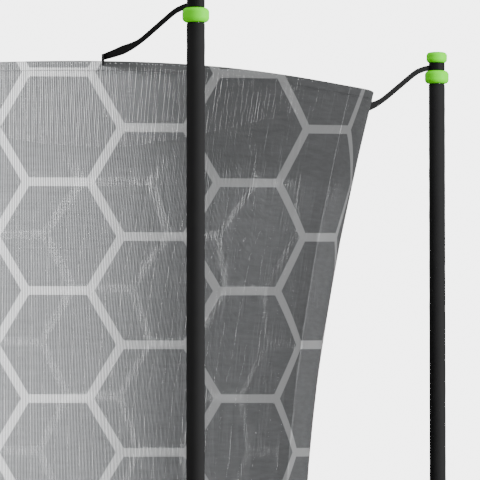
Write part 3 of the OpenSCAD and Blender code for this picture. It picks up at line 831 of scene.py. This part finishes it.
def springLine():  # one spring: hook, close coil and hook, on the X axis
    z, radius, turns, perTurn = mat["z"], 0.0085, 26, 9
    coilStart, coilEnd = 1.052, 1.156
    line = [(1.0145, 0, z - 0.006), (1.0142, 0, z + 0.0020), (1.0165, 0, z + 0.0052), (1.0260, 0, z + 0.0045),
            (1.0400, 0, z + 0.0010)]
    count = turns * perTurn
    for i in range(count + 1):
        t = i / count
        a = t * turns * math.tau
        taper = min(1.0, 0.35 + t * 14, 0.35 + (1 - t) * 14)
        line.append((coilStart + (coilEnd - coilStart) * t, radius * taper * math.sin(a),
                     z + radius * taper * math.cos(a)))
    line += [(1.1660, 0, z + 0.0020), (1.1800, 0, z + 0.0062),
             (1.1895, 0, z + 0.0074), (1.1921, 0, z + 0.0050),
             (1.1923, 0, z - 0.004)]
    return line


wires = ringTree("wiresRoundTheMat")
line = springLine()
springSet = newPiece("springs", line, [], [(i, i + 1) for i in range(len(line) - 1)])
grown(springSet, wires, {"Wire Radius": 0.00155, "Sides": 5, "Count": mat["springs"], "Offset": 0.5,
                         "Material": paints["spring"]})
loop = [(1.0038, 0.0145, mat["z"]), (1.0038, 0, mat["z"]), (1.0038, -0.0145, mat["z"]),
        (1.0060, -0.0155, mat["z"]), (1.0200, -0.0045, mat["z"]), (1.0222, 0, mat["z"]),
        (1.0200, 0.0045, mat["z"]), (1.0060, 0.0155, mat["z"])]
ringSet = newPiece("edgeRings", loop, [], [(i, (i + 1) % len(loop)) for i in range(len(loop))])
grown(ringSet, wires, {"Wire Radius": 0.00170, "Sides": 8, "Count": mat["springs"], "Offset": 0.5,
                       "Material": paints["zinc"]})
jumpingMat, edgeWebbing = matDisc(), matEdge()


def ringTabs():
    tabs = []
    for i in range(mat["springs"]):
        azimuth = 90 + (i + 0.5) * 360 / mat["springs"]
        path = [polar(r, azimuth, mat["z"] + up) for r, up in
                ((0.972, 0.0042), (0.992, 0.0040), (1.0035, 0.0036), (1.0078, 0.0), (1.0035, -0.0036),
                 (0.992, -0.0040), (0.972, -0.0042))]
        tape = [(0.0062, -0.0006), (0.0062, 0.0006), (-0.0062, 0.0006), (-0.0062, -0.0006)]
        tabs.append(sweep(f"ringTab{i}", bezier(path, 16), [tape] * 16, polar(1, azimuth + 90, 0)))
    return paint(joined("ringTabs", tabs), paints["webbing"])


tabs = ringTabs()
footOutline = [(layout["footRadius"] - 0.003, mat["z"] + 0.0016),
               (layout["footRadius"] + 0.003, mat["z"] + 0.0016),
               (layout["footRadius"] + 0.0026, 0.5925), (layout["footRadius"] + 0.0012, 0.5965),
               (layout["footRadius"] - 0.0012, 0.5965), (layout["footRadius"] - 0.0026, 0.5925)]
footBand = smooth(paint(revolve("netFootBand", footOutline, 288), paints["webbing"]), 45)
print("mat, rings and springs")


def netShare(point):  # the net's foot follows the mat, its upper part the frame
    level = (point[2] - layout["netFoot"]) / 0.75
    foot = dishShare((layout["footRadius"], 0))
    return foot * max(0.0, 1 - level) ** 2 if level > 0 else foot


for panel in panels:
    dish(panel, netShare)
for piece in (jumpingMat, edgeWebbing, tabs, ringSet, springSet, footBand):
    dish(piece, dishShare)
for number, panel in enumerate(panels, 1):
    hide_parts(f"net_panel_{number}")
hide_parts("net_hem")
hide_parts("hoop_rods")
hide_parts("hoop_ferrules")
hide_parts("hem_straps")
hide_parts("pad")
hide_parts("pad_skirt")
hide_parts("mat")
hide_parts("mat_webbing")
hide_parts("net_foot_band")
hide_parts("springs")
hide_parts("v_rings")
for number, sleeve in enumerate(sleevesOnPoles, 1):
    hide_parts(f"foam_{number}")
for piece in [hem, hoopRods, hoopSleeves, springPad, skirt, innerTape, outerTape] + straps + sleevesOnPoles:
    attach(piece, "frame")

view = {"distance": 16.104, "azimuth": 24.7085, "height": 0.855, "yaw": -2.5433, "pitch": 3.5491,
        "focal": 4931.2}


def makeCamera():
    a = math.radians(view["azimuth"])
    heading = math.radians(view["azimuth"] + view["yaw"])
    pitch = math.radians(view["pitch"])
    camera = bpy.data.objects.new("camera", bpy.data.cameras.new("camera"))
    camera.location = (view["distance"] * math.sin(a), -view["distance"] * math.cos(a), view["height"])
    ahead = Vector((-math.sin(heading) * math.cos(pitch), math.cos(heading) * math.cos(pitch),
                    math.sin(pitch)))
    camera.rotation_euler = ahead.to_track_quat("-Z", "Y").to_euler()
    camera.data.sensor_width = 36
    camera.data.lens = view["focal"] * 36 / 480
    camera.data.clip_end = 200
    bpy.context.scene.collection.objects.link(camera)
    bpy.context.scene.camera = camera


def areaLight(name, azimuth, height, distance, size, power, colour=(1, 1, 1), aim=1.4):
    lamp = bpy.data.objects.new(name, bpy.data.lights.new(name, "AREA"))
    lamp.data.shape, lamp.data.size, lamp.data.energy, lamp.data.color = "DISK", size, power, colour
    lamp.location = polar(distance, azimuth, height)
    lamp.rotation_euler = (Vector((0, 0, aim)) - lamp.location).to_track_quat("-Z", "Y").to_euler()
    bpy.context.scene.collection.objects.link(lamp)
    return lamp


studio = {"background": 4.85, "ambient": 0.70, "key": 4500, "inner": 8600, "side": 1250, "top": 150}
makeCamera()
keyLight = areaLight("keyLight", view["azimuth"] - 62, 3.6, 9, 3.0, studio["key"])
innerLight = areaLight("innerLight", view["azimuth"] - 35, 2.6, 9, 3.0, studio["inner"])
sideLight = areaLight("sideLight", view["azimuth"] + 62, 3.0, 9, 5.0, studio["side"])
areaLight("topLight", view["azimuth"], 8, 2, 4.0, studio["top"])
groups = {name: bpy.data.collections.new(name) for name in ("netLit", "farNetLit", "solidLit")}
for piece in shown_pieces():  # the key light is for the net, the side light for all that is solid
    groups["netLit" if piece in panels + [hem] else "solidLit"].objects.link(piece)
for piece in panels[1:3]:  # light through the mesh on the far half of the net
    groups["farNetLit"].objects.link(piece)
keyLight.light_linking.receiver_collection = groups["netLit"]
sideLight.light_linking.receiver_collection = groups["solidLit"]
innerLight.light_linking.receiver_collection = groups["farNetLit"]
innerLight.light_linking.blocker_collection = groups["farNetLit"]
world = bpy.data.worlds.new("studioWorld")
world.use_nodes = True
sky = world.node_tree
rays = sky.nodes.new("ShaderNodeLightPath")
strength = calc(sky, "MULTIPLY_ADD", rays.outputs["Is Camera Ray"], studio["background"] - studio["ambient"],
                studio["ambient"])
sky.nodes["Background"].inputs["Color"].default_value = (1, 1, 1, 1)
sky.links.new(strength, sky.nodes["Background"].inputs["Strength"])
bpy.context.scene.world = world
floor = newPiece("studioFloor", [(-60, -60, 0), (60, -60, 0), (60, 60, 0), (-60, 60, 0)], [(0, 1, 2, 3)])
paint(floor, surface("paleFloor", (0.74, 0.74, 0.74), (0.80, 0.80, 0.80), 0.8, 0.7, 40, 0.05, 0.001))
